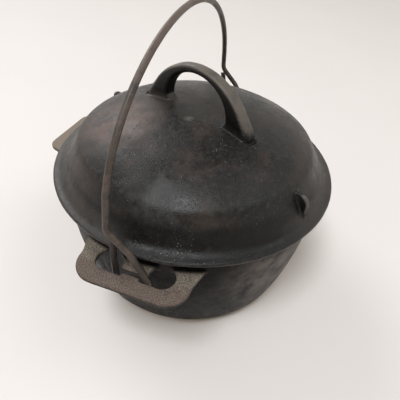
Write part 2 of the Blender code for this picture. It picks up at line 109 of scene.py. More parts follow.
# Bail, about its hinge axis through both ears. The ends' places are (y, z)
HINGE_Z = 0.10975
WIRE_RADIUS = 0.00266
HOOK_X = 0.1418
HOOK_DEPTH = 0.0120
HOOK_BEND_RADIUS = 0.006
STUB_LEAN_HEIGHT = 0.022
STUB_LEAN_RADIUS = 0.030
FIRST_END = {
    "stub_splay": -0.0012,
    "stub_tip": (-0.0137, 0.0364),
    "stub": -0.0137,
    "foot": 0.0140,
    "leg": (0.0010, 0.0275),
    "knee_bow": 0.0028,
    "knee": (-0.0165, 0.0462),
}
SECOND_END = {
    "stub_splay": 0.0029,
    "stub_tip": (-0.0175, 0.0490),
    "stub": -0.0110,
    "foot": 0.0195,
    "leg": (0.0020, 0.0380),
    "knee_bow": 0.0,
    "knee": (-0.0165, 0.0567),
}
LEG_BEND_RADIUS = 0.030
KNEE_X = 0.1402
KNEE_BEND_RADIUS = 0.011
ARCH_BASE = (-0.0172, 0.0543)
ARCH_RISE = 0.1065
ARCH_LEAN = math.radians(1.85)

# Roundness of edges
RIM_EDGE_RADIUS = 0.0012
LID_EDGE_RADIUS = 0.0012
LID_RING_EDGE_RADIUS = 0.0015
EAR_EDGE_RADIUS = 0.0018
LUG_EDGE_RADIUS = 0.0018
HANDLE_EDGE_RADIUS = 0.0032
FIN_EDGE_RADIUS = 0.0012

# Fineness of the visible surfaces
TURN_STEPS = 200
ARC_STEP = math.radians(5.0)
CROWN_STEPS = 40
WALL_STEPS = 24
HANDLE_STEPS = 48
ARCH_STEPS = 120
ARCH_SKIP = 7
OVAL_STEPS = 64
SPHERE_STEPS = (48, 24)
CYLINDER_STEPS = 96
BEVEL_STEPS = 4
WIRE_BEVEL_STEPS = 6
SLOPE_STEP = 0.001
WELD_DISTANCE = 1e-6

# Castings: fused by voxels, then smoothed and made uneven
VOXEL = 0.0009
FILLET_FACTOR = 0.5
FILLET_PASSES = 3
LUMP_SIZE = 0.022
LUMP_DEPTH = 2
LUMP_HEIGHT = 0.0003
LUMP_MIDDLE = 0.75

# Bends of a bail end, from its tip: (radius, steps)
BAIL_BENDS = (
    (STUB_LEAN_RADIUS, 6),
    (HOOK_BEND_RADIUS, 12),
    (HOOK_BEND_RADIUS, 12),
    (HOOK_BEND_RADIUS, 6),
    (LEG_BEND_RADIUS, 6),
    (KNEE_BEND_RADIUS, 10),
)

# In all that follows, colours are linear, places and sizes are in metres, and:
# a noise is (size, detail, roughness, offset);
# a band is (low, high), or (low, high, what low becomes, what high becomes);
# a pattern is (noise, band of that noise);
# a bump is (distance, strength);
# a place is (centre, radius within which it is full, radius at which it ends).

# A noise's offset is shared out over X, Y and Z like this
OFFSET_SHARES = (1.0, 0.7, 0.3)

# Seasoned iron of both castings
BLACK = (0.0, 0.0, 0.0)
PATCHES = ((0.050, 3.0, 0.5, 0.0), (0.36, 0.64))
PATCH_COLOURS = ((0.0060, 0.0050, 0.0045), (0.0130, 0.0108, 0.0096))
REDDISH = ((0.030, 4.0, 0.6, 3.1), (0.46, 0.68))
REDDISH_SHARE = 0.8
REDDISH_COLOUR = (0.034, 0.0215, 0.0172)
COOL = ((0.045, 2.0, 0.5, 7.7), (0.50, 0.66))
COOL_SHARE = 0.7
COOL_COLOUR = (0.0095, 0.0100, 0.0108)
MOTTLE_NOISE = (0.0045, 4.0, 0.7, 13.7)
MOTTLE_PALE_BAND = (0.50, 0.70, 0.0, 0.60)
MOTTLE_PALE_COLOUR = (0.038, 0.031, 0.027)
MOTTLE_DARK_BAND = (0.30, 0.48, 0.7, 0.0)
MOTTLE_DARK_COLOUR = (0.003, 0.0026, 0.0023)
GRAIN_NOISE = (0.0012, 3.0, 0.7, 1.3)
GRAIN_BAND = (0.55, 0.75)
GRAIN_SHARE = 0.35
GRAIN_COLOUR = (0.060, 0.050, 0.043)
SCUFFS = ((0.004, 4.0, 0.65, 6.6), (0.38, 0.60))
SCUFF_EDGES = (0.53, 0.60)
SCUFF_SHARE = 0.65
SCUFF_COLOUR = (0.085, 0.070, 0.060)
# Painted shade: concave corners, found by pointiness, are darkened nearly to black
CREVICES = (0.42, 0.485)
CREVICE_SHADE_SHARE = 0.7
CREVICE_SHADE_COLOUR = (0.006, 0.005, 0.0045)
SPECK_NOISE = (0.0013, 1.0, 0.5, 5.3)
SPECK_LIMIT = ((0.035, 3.0, 0.6, 11.0), (0.40, 0.62, 0.82, 0.735))
SPECK_SOFTNESS = 0.02
SPECK_COLOUR = (0.20, 0.18, 0.16)
SHEEN = ((0.020, 4.0, 0.6, 9.2), (0.30, 0.70, 0.25, 0.38))
SHEEN_MOTTLE_BAND = (0.35, 0.65, 0.0, 0.12)
COARSE_NOISE = (0.007, 3.0, 0.5, 2.2)
COARSE_BUMP = (0.0008, 0.22)
PITS = ((0.0018, 2.0, 0.5, 8.1), (0.30, 0.40))
PIT_BUMP = (0.0002, 0.50)
GRAIN_BUMP = (0.00042, 1.0)
GRAIN_BUMP_STRENGTH = ((0.040, 3.0, 0.55, 12.4), (0.42, 0.62, 0.30, 1.0))

# Marks on a casting: (centre, full radius, end radius, colour, share)
RUSTY_BREATH = (0.062, 0.041, 0.034)
# Near black, used for painted shade on the kettle's front
PAINTED_SHADE_BLACK = (0.001, 0.0009, 0.0008)
LID_MARKS = (
    ((0.030, -0.070, 0.176), 0.012, 0.060, RUSTY_BREATH, 0.75),
    ((-0.030, -0.040, 0.182), 0.010, 0.060, (0.050, 0.040, 0.035), 0.6),
    ((0.070, 0.020, 0.174), 0.004, 0.024, RUSTY_BREATH, 0.45),
    ((0.017, -0.0025, 0.1834), 0.001, 0.006, (0.16, 0.15, 0.14), 0.8),
    # Painted highlight: pale grey patch on the front of the lid's shoulder
    ((0.100, -0.004, 0.163), 0.004, 0.030, (0.050, 0.049, 0.047), 0.5),
    ((0.112, 0.048, 0.150), 0.006, 0.034, (0.040, 0.034, 0.028), 0.6),
    # Painted highlight: pale grey patch on the front of the lid's shoulder
    ((0.104, 0.008, 0.163), 0.006, 0.030, (0.060, 0.059, 0.058), 0.5),
    # Reddish patch on the crown's left, made paler as a painted reflection
    ((0.036, -0.061, 0.177), 0.014, 0.046, (0.150, 0.105, 0.092), 0.8),
    ((0.057, 0.014, 0.180), 0.008, 0.030, (0.004, 0.0035, 0.003), 0.5),
)
KETTLE_MARKS = (
    # Grey-brown patch on the kettle's right, brightened further as a painted reflection
    ((0.070, 0.100, 0.085), 0.014, 0.062, (0.420, 0.370, 0.330), 0.90),
    ((0.098, 0.062, 0.050), 0.006, 0.034, (0.100, 0.092, 0.082), 0.7),
    # Painted shade: the kettle's front below the front ear and the lid's flange is made nearly
    # black
    ((0.118, -0.040, 0.083), 0.014, 0.028, PAINTED_SHADE_BLACK, 1.0),
    ((0.122, 0.012, 0.088), 0.012, 0.026, PAINTED_SHADE_BLACK, 1.0),
    ((-0.080, 0.090, 0.060), 0.010, 0.060, (0.070, 0.060, 0.052), 0.6),
    ((-0.090, -0.070, 0.080), 0.010, 0.055, (0.065, 0.058, 0.052), 0.6),
    ((0.040, -0.110, 0.050), 0.008, 0.045, (0.060, 0.050, 0.042), 0.6),
)
MARK_NOISES = 3.0
MARK_DETAIL = 4.0
MARK_ROUGHNESS = 0.65
MARK_SHIFT = 90
MARK_BAND = (0.28, 0.66)
MARK_DULLING = 0.15

# Lid: its flange, handle, fins and the pockets at the handle's toes
LID_SPECULAR = 0.30
LID_DARKENING = 0.10
FLANGE_TOP_Z = (0.145, 0.153)
DUST_RADII = (0.116, 0.126)
DUST_Z = (0.136, 0.146)
DUST = ((0.016, 4.0, 0.65, 2.9), (0.28, 0.55, 0.45, 1.0))
DUST_COLOUR = (0.038, 0.033, 0.029)
# Painted shade: the front of the flange is darkened nearly to black, broken up by noise
FRONT_SHADE_PLACE = ((0.116, 0.055, 0.139), 0.050, 0.110)
FRONT_SHADE_PATTERN = ((0.012, 4.0, 0.6, 4.1), (0.25, 0.50, 0.7, 1.0))
FRONT_SHADE_COLOUR = (0.0025, 0.0020, 0.0018)
# Painted highlight: a pale line along the flange's outer edge, broken up by noise
FLANGE_EDGE_RADII = (0.1355, 0.1363)
FLANGE_EDGE_HIGHLIGHT_BREAKS = ((0.007, 4.0, 0.65, 15.2), (0.36, 0.58, 0.1, 0.6))
FLANGE_EDGE_HIGHLIGHT_COLOUR = (0.058, 0.051, 0.046)
SPECK_SHOWER = ((0.124, 0.028, 0.136), 0.014, 0.042)
SPECK_SHOWER_SHARE = 0.065
# Painted shade: the handle's sides, where they face away from up, are darkened
HANDLE_FLANK_Z = (0.184, 0.190)
HANDLE_FLANK_FACING = (0.10, 0.50)
HANDLE_FLANK_SHADE_COLOUR = (0.0025, 0.002, 0.0018)
# Handle top: rubbed wear, with part of its paleness a painted light on the up-facing top
HANDLE_TOP_Z = (0.184, 0.192)
HANDLE_TOP_FACING = (0.15, 0.6)
HANDLE_WEAR = ((0.016, 4.0, 0.6, 1.7), (0.25, 0.55, 0.45, 0.9))
HANDLE_WORN_AND_LIT_COLOUR = (0.112, 0.095, 0.080)
# Painted shade over the fins, and a painted highlight along their rims
FIN_RADII = (0.1180, 0.1205)
FIN_Z = (0.138, 0.143)
FIN_SHADE_SHARE = 0.75
FIN_SHADE_COLOUR = (0.003, 0.0027, 0.0024)
FIN_RIM_EDGES = (0.502, 0.535)
FIN_RIM_HIGHLIGHT_COLOUR = (0.080, 0.073, 0.066)
# Painted shade in the concave hollows of the toe pockets
POCKET_SINK = 0.002
POCKET_RADII = (0.0075, 0.0100)
POCKET_CREVICES = (0.45, 0.502)
POCKET_SHADE_COLOUR = (0.0015, 0.0015, 0.0013)

# Kettle: its ears and lug. Each pair of sand colours goes from dark to pale grains
KETTLE_SPECULAR = 0.07
KETTLE_DARKENING = 0.62
EAR_RADII = (0.1275, 0.1315)
EAR_Z = (0.100, 0.105)
EAR_FACING_BAND = (-0.2, 0.55, 0.25, 1.0)
EAR_WEAR = ((0.012, 4.0, 0.6, 4.4), (0.20, 0.46, 0.45, 1.0))
SAND_NOISE = (0.0009, 2.0, 0.75, 6.1)
SAND_BAND = (0.40, 0.62)
SAND_BUMP = (0.0007, 0.6)
ROOT_SAND_COLOURS = ((0.085, 0.070, 0.056), (0.265, 0.232, 0.188))
BAR_SAND_COLOURS = ((0.078, 0.056, 0.048), (0.165, 0.130, 0.111))
BAR_RAGGEDNESS = ((0.016, 4.0, 0.6, 8.8), (0.30, 0.70, -0.005, 0.005))
BAR_BAND = (0.1330, 0.1425, 0.0, 0.90)
LUG_BAND = (-0.132, -0.120, 0.75, 0.0)
LUG_COLOUR = (0.235, 0.185, 0.150)
EAR_RIM_EDGES = (0.51, 0.58)
EAR_RIM_SHARE = 0.5
EAR_RIM_COLOUR = (0.120, 0.080, 0.068)
RUST_DULLING = 0.35

# Bail
WIRE_METALLIC = 0.1
WIRE_SPECULAR = 0.32
WIRE_ROUGHNESS = (0.36, 0.56)
WIRE_PATCHES = ((0.014, 4.0, 0.6, 0.0), (0.35, 0.65))
WIRE_COLOURS = ((0.042, 0.034, 0.029), (0.074, 0.058, 0.049))
WIRE_RUST = ((0.006, 4.0, 0.65, 2.6), (0.50, 0.66))
WIRE_RUST_SHARE = 0.6
WIRE_RUST_COLOUR = (0.130, 0.080, 0.062)
WIRE_GRAIN_NOISE = (0.0008, 3.0, 0.7, 1.9)
WIRE_GRAIN_BAND = (0.55, 0.72, 0.0, 0.4)
WIRE_GRAIN_COLOUR = (0.19, 0.16, 0.14)
WIRE_RAGGEDNESS = 0.012
WIRE_DRY_BAND = (0.240, 0.278, 0.0, 0.8)
WIRE_DRY_COLOUR = (0.135, 0.100, 0.082)
# Part oil and part painted shade: the stub ends, under the lid, are made nearly black
STUB_Y = (-0.0085, -0.0068)
STUB_Z = (0.144, 0.148)
STUB_OIL_AND_SHADE_SHARE = 0.85
STUB_OIL_AND_SHADE_COLOUR = (0.010, 0.0085, 0.0075)
WIRE_PIT_NOISE = (0.003, 3.0, 0.6, 5.1)
WIRE_PIT_BUMP = (0.0006, 0.35)
WIRE_GRAIN_BUMP = (0.0003, 0.5)

# Floor, and light from the room
FLOOR_HALF_WIDTH = 4.0
FLOOR_COLOUR = (0.690, 0.665, 0.655)
FLOOR_MOTTLE = ((0.25, 3.0, 0.5, 0.0), (0.35, 0.65, 0.0, 0.5))
FLOOR_MOTTLE_SHADE = 0.97
FLOOR_GLOW = (0.04, 0.022, 0.004)
FLOOR_ROUGHNESS = 0.6
FLOOR_SPECULAR = 0.3
WALL_LIGHT = (0.90, 0.865, 0.805)
ROOM_LIGHT = (0.23, 0.213, 0.190)
ROOM_BAND = (0.35, 0.95)
CEILING_LIGHT = (0.27, 0.26, 0.24)
CEILING_BAND = (0.25, 0.75)

# Lamps: (name, place, width, watts)
LAMP_COLOUR = (0.96, 0.98, 1.0)
LAMP_TARGET = Vector((0, 0, 0.1))
LAMPS = (
    ("ceiling", (1.0, -0.15, 2.2), 0.8, 38.0),
    ("window", (-1.7, -2.6, 2.6), 2.2, 66.0),
    ("back", (-0.4, 1.3, 2.3), 1.8, 14.0),
)

# Camera, fitted to the photograph
CAMERA_PLACE = Vector((0.2982, 0.0959, 0.3572))
CAMERA_ELEVATION = math.radians(42.22)
CAMERA_AZIMUTH = math.radians(16.24)
CAMERA_ROLL = math.radians(4.86)
LENS_MM = 34.2
SENSOR_MM = 36.0
CLIP_START = 0.01


def rounded(corners, closed=False):
    """Points through corners given as (x, y, radius), each corner rounded to its radius."""
    points = []
    count = len(corners)
    for index, (x, y, radius) in enumerate(corners):
        corner = Vector((x, y))
        is_end = not closed and index in (0, count - 1)
        if is_end or radius == 0:
            points.append(corner)
            continue
        before = Vector(corners[index - 1][:2])
        after = Vector(corners[(index + 1) % count][:2])
        into = (corner - before).normalized()
        away = (after - corner).normalized()
        turn = math.atan2(into.x * away.y - into.y * away.x, into.dot(away))
        side = math.copysign(1.0, turn)
        start = corner - into * radius * math.tan(abs(turn) / 2)
        inward = Vector((-into.y, into.x)) * side
        centre = start + inward * radius
        steps = max(1, math.ceil(abs(turn) / ARC_STEP))
        for step in range(steps + 1):
            spoke = -inward * radius
            spoke.rotate(Matrix.Rotation(turn * step / steps, 2))
            points.append(centre + spoke)
    return points


def add_object(name, data):
    item = bpy.data.objects.new(name, data)
    bpy.context.scene.collection.objects.link(item)
    return item


def drop(item):
    bpy.data.objects.remove(item, do_unlink=True)


def evaluated_mesh(item):
    """New mesh with the object's modifiers applied, in world coordinates."""
    bpy.context.view_layer.update()
    graph = bpy.context.evaluated_depsgraph_get()
    mesh = bpy.data.meshes.new_from_object(item.evaluated_get(graph))
    mesh.transform(item.matrix_world)
    return mesh


def turned(name, profile):
    """Solid of revolution about Z from a profile of (radius, height) that ends on the axis."""
    shape = bmesh.new()
    chain = [shape.verts.new((x, 0.0, z)) for x, z in profile]
    edges = [shape.edges.new(pair) for pair in zip(chain, chain[1:])]
    bmesh.ops.spin(
        shape, geom=chain + edges, cent=(0, 0, 0), axis=(0, 0, 1), angle=2 * math.pi,
        steps=TURN_STEPS, use_merge=True)
    bmesh.ops.remove_doubles(shape, verts=shape.verts, dist=WELD_DISTANCE)
    bmesh.ops.recalc_face_normals(shape, faces=shape.faces)
    mesh = bpy.data.meshes.new(name)
    shape.to_mesh(mesh)
    shape.free()
    return add_object(name, mesh)


def plate(name, outline, thickness, edge_radius, place):
    """Flat plate with rounded edges, drawn on its own XY plane and then put in place."""
    curve = bpy.data.curves.new(name, "CURVE")
    curve.dimensions = "2D"
    curve.fill_mode = "BOTH"
    curve.extrude = thickness / 2 - edge_radius
    curve.bevel_depth = edge_radius
    curve.bevel_resolution = BEVEL_STEPS
    curve.offset = -edge_radius
    spline = curve.splines.new("POLY")
    spline.points.add(len(outline) - 1)
    for point, (x, y) in zip(spline.points, outline):
        point.co = (x, y, 0.0, 1.0)
    spline.use_cyclic_u = True
    drawn = add_object(name, curve)
    drawn.matrix_world = place
    mesh = evaluated_mesh(drawn)
    drop(drawn)
    shape = bmesh.new()
    shape.from_mesh(mesh)
    bmesh.ops.remove_doubles(shape, verts=shape.verts, dist=WELD_DISTANCE)
    bmesh.ops.recalc_face_normals(shape, faces=shape.faces)
    shape.to_mesh(mesh)
    shape.free()
    return add_object(name, mesh)


def cylinder(name, radius, length, centre):
    shape = bmesh.new()
    bmesh.ops.create_cone(
        shape, cap_ends=True, segments=CYLINDER_STEPS, radius1=radius, radius2=radius,
        depth=length)
    bmesh.ops.translate(shape, vec=centre, verts=shape.verts)
    mesh = bpy.data.meshes.new(name)
    shape.to_mesh(mesh)
    shape.free()
    return add_object(name, mesh)


def box(name, low, high):
    shape = bmesh.new()
    bmesh.ops.create_cube(shape, size=1.0)
    low = Vector(low)
    high = Vector(high)
    bmesh.ops.scale(shape, vec=high - low, verts=shape.verts)
    bmesh.ops.translate(shape, vec=(low + high) / 2, verts=shape.verts)
    mesh = bpy.data.meshes.new(name)
    shape.to_mesh(mesh)
    shape.free()
    return add_object(name, mesh)


def cut(item, cutters):
    """Cut the shapes out of an object, and remove them."""
    for cutter in cutters:
        boolean = item.modifiers.new("cut", "BOOLEAN")
        boolean.operation = "DIFFERENCE"
        boolean.solver = "EXACT"
        boolean.object = cutter
    mesh = evaluated_mesh(item)
    item.modifiers.clear()
    item.data = mesh
    item.matrix_world = Matrix.Identity(4)
    for cutter in cutters:
        drop(cutter)
    return item


def cast(name, shapes):
    """One casting from overlapping shapes: fused, filleted where they meet, and a little uneven."""
    fused = bmesh.new()
    for shape in shapes:
        fused.from_mesh(shape.data)
        drop(shape)
    mesh = bpy.data.meshes.new(name)
    fused.to_mesh(mesh)
    fused.free()
    rough = add_object(name + "_rough", mesh)
    remesh = rough.modifiers.new("fuse", "REMESH")
    remesh.mode = "VOXEL"
    remesh.voxel_size = VOXEL
    smooth = rough.modifiers.new("fillet", "SMOOTH")
    smooth.factor = FILLET_FACTOR
    smooth.iterations = FILLET_PASSES
    lumps = bpy.data.textures.new(name + "_lumps", "CLOUDS")
    lumps.noise_scale = LUMP_SIZE
    lumps.noise_depth = LUMP_DEPTH
    uneven = rough.modifiers.new("uneven", "DISPLACE")
    uneven.texture = lumps
    uneven.texture_coords = "LOCAL"
    uneven.mid_level = LUMP_MIDDLE
    uneven.strength = LUMP_HEIGHT
    casting = add_object(name, evaluated_mesh(rough))
    drop(rough)
    for vertex in casting.data.vertices:
        vertex.co.z = max(0.0, vertex.co.z)
    casting.data.shade_smooth()
    return casting


def wall_radius(height):
    """Outer radius of the kettle's wall at a height."""
    depth = (KETTLE_HEIGHT - height) / (KETTLE_HEIGHT - KETTLE_CORNER_HEIGHT)
    return KETTLE_RIM_RADIUS - KETTLE_TAPER * depth + 4 * KETTLE_BULGE * depth * (1 - depth)


def wall_points(top, inset):
    """Profile corners down the wall from top, set in from its outside."""
    fall = (top - KETTLE_CORNER_HEIGHT) / WALL_STEPS
    heights = [top - fall * step for step in range(WALL_STEPS)]
    return [(wall_radius(height) - inset, height, 0.0) for height in heights]


def foot_corner(inset, floor, radius):
    """Profile corner where the wall, set in, would run on down to the floor."""
    span = KETTLE_HEIGHT - KETTLE_CORNER_HEIGHT
    slope = (KETTLE_TAPER + 4 * KETTLE_BULGE) / span
    start = wall_radius(KETTLE_CORNER_HEIGHT) - inset
    return (start - slope * (KETTLE_CORNER_HEIGHT - floor), floor, radius)


def kettle_profile():
    """From the axis inside, up the inner wall, over the rim and down the outside."""
    inner_corner = foot_corner(KETTLE_WALL, KETTLE_FLOOR, KETTLE_CORNER_RADIUS - KETTLE_WALL)
    bead_radius = KETTLE_RIM_RADIUS + RIM_BEAD_WIDTH
    bead_foot = KETTLE_HEIGHT - RIM_BEAD_HEIGHT
    corners = [(0.0, KETTLE_FLOOR, 0.0), inner_corner]
    corners += wall_points(KETTLE_HEIGHT, KETTLE_WALL)[::-1]
    corners += [
        (bead_radius, KETTLE_HEIGHT, RIM_EDGE_RADIUS), (bead_radius, bead_foot, RIM_EDGE_RADIUS)]
    corners += wall_points(bead_foot - RIM_BEAD_WIDTH, 0.0)
    corners += [
        foot_corner(0.0, BASE_PAD_HEIGHT, KETTLE_CORNER_RADIUS),
        (BASE_PAD_RADIUS, BASE_PAD_HEIGHT, 0.0),
        (BASE_PAD_RADIUS - BASE_PAD_HEIGHT, 0.0, 0.0),
        (0.0, 0.0, 0.0),
    ]
    return rounded(corners)


def root_reach(half_width):
    """How far from the axis a plate of this half width meets the middle of the wall."""
    return KETTLE_ROOT_RADIUS * math.cos(math.asin(half_width / KETTLE_ROOT_RADIUS))


def ear_outline():
    half = EAR_WIDTH / 2
    side = [
        (EAR_FRONT_X, half, EAR_CORNER_RADIUS),
        (KETTLE_RIM_RADIUS + EAR_ROOT_SPREAD, half, EAR_NECK_RADIUS),
        (root_reach(half) - EAR_ROOT_SPREAD, half + EAR_ROOT_SPREAD, 0.0),
    ]
    other = [(x, -y, radius) for x, y, radius in reversed(side)]
    return rounded(side + other, closed=True)


def ear_cutters(side, middle):
    """The two finger holes, the bays beside the bail's seat, the slot and the kettle's inside."""
    depth = EAR_THICKNESS * 3
    low = middle - depth / 2
    high = middle + depth / 2
    slot_high = EAR_BAR_X - BAIL_SEAT_DEPTH
    slot_low = slot_high - EAR_SLOT_WIDTH
    cutters = [cylinder("inside", KETTLE_ROOT_RADIUS, depth, (0, 0, middle))]
    for sign in (-1, 1):
        centre = (side * FINGER_HOLE_X, sign * FINGER_HOLE_Y, middle)
        cutters.append(cylinder("hole", FINGER_HOLE_RADIUS, depth, centre))
        ends_x = sorted((side * slot_low, side * EAR_BAR_X))
        ends_y = sorted((sign * BAIL_SEAT_WIDTH / 2, sign * FINGER_HOLE_Y))
        cutters.append(box("bay", (ends_x[0], ends_y[0], low), (ends_x[1], ends_y[1], high)))
    ends_x = sorted((side * slot_low, side * slot_high))
    cutters.append(box(
        "slot", (ends_x[0], -FINGER_HOLE_Y, low), (ends_x[1], FINGER_HOLE_Y, high)))
    return cutters


def lug_outline():
    half = LUG_WIDTH / 2
    root_y = root_reach(half)
    side = [
        (half, LUG_REACH, LUG_CORNER_RADIUS),
        (half + LUG_ROOT_SPREAD, root_y, 0.0),
        (half, root_y - LUG_ROOT_SPREAD, 0.0),
    ]
    other = [(-x, y, radius) for x, y, radius in reversed(side)]
    return rounded(side + other, closed=True)


def build_kettle():
    shapes = [turned("kettle_body", kettle_profile())]
    middle = EAR_TOP_Z - EAR_THICKNESS / 2
    for side, turn in ((1, 0.0), (-1, math.pi)):
        place = Matrix.Translation((0, 0, middle)) @ Matrix.Rotation(turn, 4, "Z")
        ear = plate("ear", ear_outline(), EAR_THICKNESS, EAR_EDGE_RADIUS, place)
        shapes.append(cut(ear, ear_cutters(side, middle)))
    middle = LUG_TOP_Z - LUG_THICKNESS / 2
    place = Matrix.Translation((0, 0, middle)) @ Matrix.Rotation(math.pi + LUG_TURN, 4, "Z")
    lug = plate("lug", lug_outline(), LUG_THICKNESS, LUG_EDGE_RADIUS, place)
    inside = cylinder("inside", KETTLE_ROOT_RADIUS, LUG_CUT_DEPTH, (0, 0, middle))
    shapes.append(cut(lug, [inside]))
    return cast("kettle_casting", shapes)


def crown_height(radius):
    """Height of the lid's outside at a distance from its axis."""
    return LID_TOP_Z - LID_CROWN_RISE * (radius / LID_CROWN_RADIUS) ** LID_CROWN_POWER


def lid_profile():
    """From the axis on top, over the crown and the flange, round the seat and back inside."""
    steps = range(CROWN_STEPS + 1)
    radii = [LID_CROWN_END * step / CROWN_STEPS for step in steps]
    ring_z = LID_SEAT_Z - LID_RING_DEPTH
    mouth = LID_RING_RADIUS - LID_RING_THICKNESS
    corners = [(radius, crown_height(radius), 0.0) for radius in radii]
    corners += [
        (*LID_SHOULDER, LID_SHOULDER_RADIUS),
        (*LID_FOOT, LID_FOOT_RADIUS),
        (LID_RADIUS, LID_EDGE_Z, LID_EDGE_RADIUS),
        (LID_RADIUS, LID_SEAT_Z, LID_EDGE_RADIUS),
        (LID_RING_RADIUS, LID_SEAT_Z, 0.0),
        (LID_RING_RADIUS, ring_z, LID_RING_EDGE_RADIUS),
        (mouth, ring_z, LID_RING_EDGE_RADIUS),
        (mouth, LID_INNER_FOOT_Z, LID_INNER_FOOT_RADIUS),
        (LID_SHOULDER[0] - LID_WALL, LID_SHOULDER[1] - LID_WALL / 2,
         LID_SHOULDER_RADIUS - LID_WALL),
    ]
    edge = LID_CROWN_END - LID_WALL / 2
    radii = [edge * (1 - step / CROWN_STEPS) for step in steps]
    for radius in radii:
        ribs = [abs(radius - ring) / (DRIP_RING_WIDTH / 2) for ring in DRIP_RING_RADII]
        rib = DRIP_RING_HEIGHT * max(0.0, 1 - min(ribs))
        corners.append((radius, crown_height(radius) - LID_WALL - rib, 0.0))
    return rounded(corners)


def handle_outline():
    top = LID_TOP_Z + HANDLE_RISE
    toe_z = crown_height(HANDLE_TOE_REACH) + HANDLE_TOE_HEIGHT
    apex = toe_z + HANDLE_TOE_REACH * math.tan(HANDLE_LEG_SLOPE)
    arc_radius = (apex - top) / (1 / math.cos(HANDLE_LEG_SLOPE) - 1)
    sink = LID_WALL / 2
    foot_z = crown_height(HANDLE_TOE_REACH) - sink
    outer = rounded([
        (HANDLE_TOE_REACH, foot_z, 0.0),
        (HANDLE_TOE_REACH, toe_z, HANDLE_TOE_RADIUS),
        (0.0, apex, arc_radius),
        (-HANDLE_TOE_REACH, toe_z, HANDLE_TOE_RADIUS),
        (-HANDLE_TOE_REACH, foot_z, 0.0),
    ])
    flare_z = crown_height(HANDLE_INNER_SPAN) + HANDLE_FOOT_FLARE
    rise = top - HANDLE_THICKNESS - flare_z
    inner = []
    for step in range(HANDLE_STEPS + 1):
        angle = math.pi - math.pi * step / HANDLE_STEPS
        inner.append((HANDLE_INNER_SPAN * math.cos(angle), flare_z + rise * math.sin(angle)))
    heel = HANDLE_INNER_SPAN - HANDLE_FOOT_FLARE
    heel_z = crown_height(heel) - sink
    return outer + [(-heel, heel_z)] + inner + [(heel, heel_z)]


def build_handle():
    """Strap handle with rounded edges, wider at its feet, each toe drawn back at its sides into a
    blunt nose.
    """
    handle = plate(
        "handle", handle_outline(), HANDLE_WIDTH, HANDLE_EDGE_RADIUS, Matrix.Identity(4))
    for vertex in handle.data.vertices:
        reach = min(1.0, abs(vertex.co.x) / HANDLE_TOE_REACH)
        across = vertex.co.z / (HANDLE_WIDTH / 2)
        vertex.co.z *= 1.0 + HANDLE_FOOT_WIDENING * reach ** 2
        nose = max(0.0, 1.0 - (HANDLE_TOE_REACH - abs(vertex.co.x)) / TOE_NOSE_LENGTH)
        vertex.co.x -= math.copysign(TOE_NOSE_DEPTH * nose * across ** 2, vertex.co.x)
    upright = Matrix.Rotation(HANDLE_TURN, 4, "Z") @ Matrix.Rotation(math.pi / 2, 4, "X")
    handle.data.transform(upright)
    return handle


def add_toe_pockets(body):
    """Pocket in the crown at the outer end of each handle foot, with a low rim round it."""
    reach = HANDLE_TOE_REACH + TOE_POCKET_SHIFT
    fall = crown_height(reach) - crown_height(reach + SLOPE_STEP)
    tilt = math.atan2(fall, SLOPE_STEP)
    pockets = []
    rims = []
    for turn in (HANDLE_TURN, HANDLE_TURN + math.pi):
        place = (
            Matrix.Rotation(turn, 4, "Z") @ Matrix.Translation((reach, 0.0, crown_height(reach)))
            @ Matrix.Rotation(tilt, 4, "Y"))
        shape = bmesh.new()
        bmesh.ops.create_uvsphere(
            shape, u_segments=SPHERE_STEPS[0], v_segments=SPHERE_STEPS[1], radius=1.0)
        bmesh.ops.scale(shape, vec=TOE_POCKET, verts=shape.verts)
        mesh = bpy.data.meshes.new("pocket")
        shape.to_mesh(mesh)
        shape.free()
        mesh.transform(place)
        pockets.append(add_object("pocket", mesh))
        rims.append(ring("pocket_rim", TOE_POCKET[0], TOE_POCKET[1], TOE_RIM_THICKNESS, place))
    return [cut(body, pockets)] + rims


def ring(name, half_length, half_width, thickness, place):
    """Oval ring of round section, lying on its own XY plane and then put in place."""
    curve = bpy.data.curves.new(name, "CURVE")
    curve.dimensions = "3D"
    curve.bevel_depth = thickness
    curve.bevel_resolution = BEVEL_STEPS
    spline = curve.splines.new("POLY")
    spline.points.add(OVAL_STEPS - 1)
    for index, point in enumerate(spline.points):
        angle = 2 * math.pi * index / OVAL_STEPS
        point.co = (half_length * math.cos(angle), half_width * math.sin(angle), 0.0, 1.0)
    spline.use_cyclic_u = True
    drawn = add_object(name, curve)
    drawn.matrix_world = place
    item = add_object(name, evaluated_mesh(drawn))
    drop(drawn)
    return item


def fin_outline():
    middle = (LID_SEAT_Z + LID_EDGE_Z) / 2
    half_wall = LID_WALL / 2
    return rounded([
        (LID_SHOULDER[0] - half_wall, FIN_TOP_Z, 0.0),
        (FIN_REACH, FIN_TOP_Z, FIN_CORNER_RADIUS),
        (FIN_REACH - FIN_TAPER, middle, 0.0),
        (LID_FOOT[0] - half_wall, middle, 0.0),
    ], closed=True)


def build_lid():
    shapes = add_toe_pockets(turned("lid_body", lid_profile())) + [build_handle()]
    for turn in (FIN_TURN, FIN_TURN + math.pi):
        place = Matrix.Rotation(turn, 4, "Z") @ Matrix.Rotation(math.pi / 2, 4, "X")
        shapes.append(plate("fin", fin_outline(), FIN_THICKNESS, FIN_EDGE_RADIUS, place))
    return cast("lid_casting", shapes)


def bend(before, corner, after, radius, steps):
    """Points of an arc of the radius that rounds the corner between two others."""
    into = (corner - before).normalized()
    away = (after - corner).normalized()
    turn = into.angle(away)
    start = corner - into * radius * math.tan(turn / 2)
    inward = (away - into * into.dot(away)).normalized()
    centre = start + inward * radius
    points = []
    for step in range(steps + 1):
        angle = turn * step / steps
        points.append(centre - inward * radius * math.cos(angle) + into * radius * math.sin(angle))
    return points


